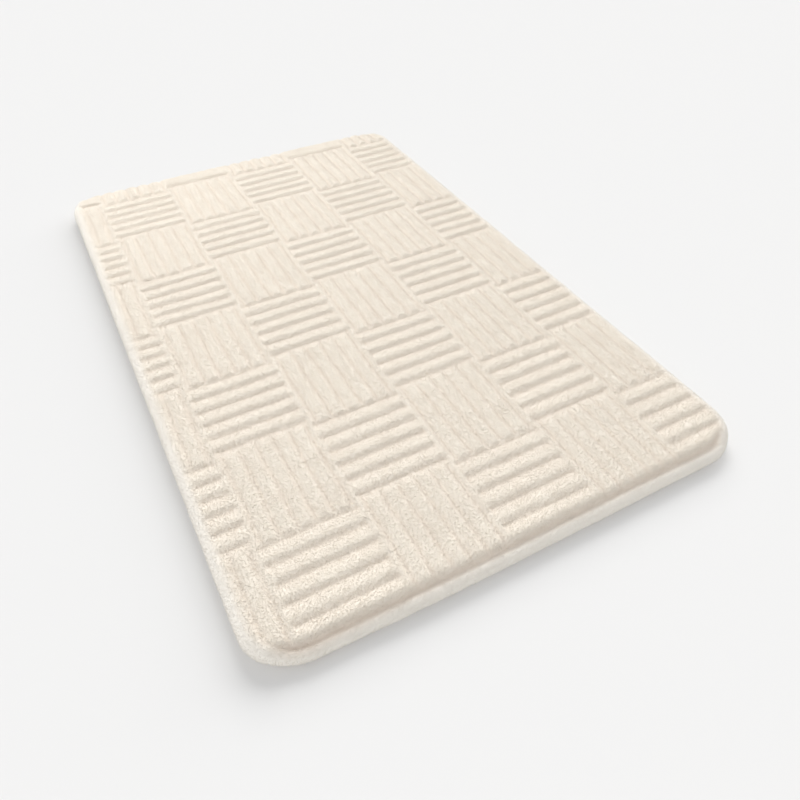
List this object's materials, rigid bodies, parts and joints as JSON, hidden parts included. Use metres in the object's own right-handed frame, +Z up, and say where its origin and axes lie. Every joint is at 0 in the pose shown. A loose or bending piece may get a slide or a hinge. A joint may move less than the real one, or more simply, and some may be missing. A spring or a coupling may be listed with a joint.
{
  "type": "bath mat",
  "caption": "Rectangular bath mat with rounded corners: plush face embossed in a basket weave of ribs over memory foam, with a rolled edge and a grip backing.",
  "frame": {"origin": "centre of the underside, on the surface that the mat lies on", "axes": "+Z up out of the ribbed face, +Y along the mat's longer side, +X across it"},
  "size_m": [0.5, 0.8, 0.022],
  "materials": {
    "face_fleece": "short dense plush pile, ivory cream, matt with a soft sheen",
    "bond_film": "thin milky hot-melt film",
    "foam": "open-cell slow-rebound foam, pale yellow",
    "scrim": "thin non-woven, white",
    "backing_cloth": "close knitted backing cloth, ecru",
    "grip_dots": "printed soft vinyl dots, satin",
    "thread": "spun polyester thread, cream",
    "label_satin": "blank woven satin, white"
  },
  "bodies": {
    "root": {"face_cover": "face_fleece", "bond_film": "bond_film", "memory_foam": "foam", "foam_scrim": "scrim", "hem_overlock": "thread", "grip_backing": "backing_cloth", "perimeter_seam": "thread", "care_label": "label_satin"}
  },
  "joints": []
}
